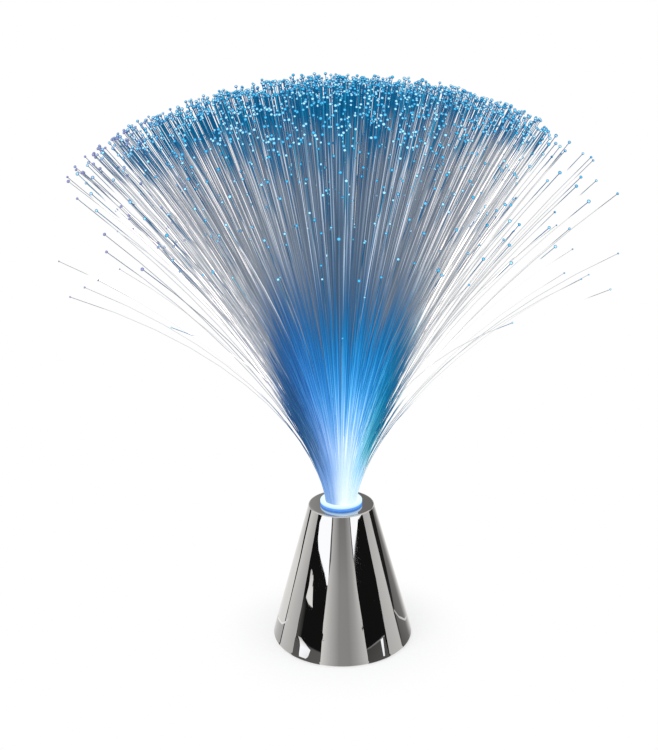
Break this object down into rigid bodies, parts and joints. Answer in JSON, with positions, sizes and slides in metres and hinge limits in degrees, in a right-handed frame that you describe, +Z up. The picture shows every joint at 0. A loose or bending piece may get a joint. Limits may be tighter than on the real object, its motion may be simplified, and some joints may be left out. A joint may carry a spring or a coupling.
{
  "type": "fiber optic lamp",
  "caption": "Battery-powered table lamp: a chrome cone base with a frosted collar that holds a wide, lifting spray of light-guiding strands with glowing tips.",
  "frame": {"origin": "on the table under the middle of the cone, which is the middle of the whole lamp's underside", "axes": "+Z up along the cone's axis; -Y towards the viewer of the picture; +X to the viewer's right, where the switch is under the base"},
  "size_m": [0.3126, 0.3126, 0.318],
  "materials": {
    "chrome": "mirror-bright plating on moulded plastic",
    "black_plastic": "fine moulded texture",
    "screw_steel": "zinc plated",
    "cell_jacket": "printed steel jacket, plain",
    "contact_metal": "nickel-plated spring strip",
    "switch_metal": "tinned can",
    "knob_plastic": "plain moulded",
    "board": "solder-masked circuit board",
    "lamp_red": "clear tinted lens",
    "lamp_green": "clear tinted lens",
    "lamp_blue": "clear tinted lens",
    "resistor_body": "ceramic chip with tinned ends",
    "cup_white": "white moulding",
    "wire_red": "insulated wire",
    "wire_black": "insulated wire",
    "collar_frosted": "frosted, lit from inside",
    "strand": "clear strands that carry blue light"
  },
  "bodies": {
    "base": {"base_shell": "chrome", "base_plate": "black_plastic", "plate_screws": "screw_steel", "battery_1": "cell_jacket", "battery_2": "cell_jacket", "battery_3": "cell_jacket", "contact_plus": "contact_metal", "contact_minus": "contact_metal", "contact_bridge_front": "contact_metal", "contact_bridge_back": "contact_metal", "contact_springs": "contact_metal", "switch_body": "switch_metal", "led_board": "board", "led_red": "lamp_red", "led_green": "lamp_green", "led_blue": "lamp_blue", "resistors": "resistor_body", "light_cup": "cup_white", "board_screws": "screw_steel", "wire_plus": "wire_red", "wire_switched": "wire_red", "wire_minus": "wire_black"},
    "fibre_unit": {"collar": "collar_frosted", "fibre_spray": "strand"},
    "switch_knob": {"switch_knob": "knob_plastic"},
    "battery_door": {"battery_door": "black_plastic"}
  },
  "joints": [
    {"name": "fibre_lift", "type": "slide", "parent": "base", "child": "fibre_unit", "axis": [0, 0, 1], "range_m": [0, 0.03]},
    {"name": "knob_slide", "type": "slide", "parent": "base", "child": "switch_knob", "axis": [0, -1, 0], "range_m": [0, 0.003]},
    {"name": "door_swing", "type": "hinge", "parent": "base", "child": "battery_door", "pos_m": [0, -0.02525, 0.002], "axis": [-1, 0, 0], "range_deg": [0, 70]}
  ]
}
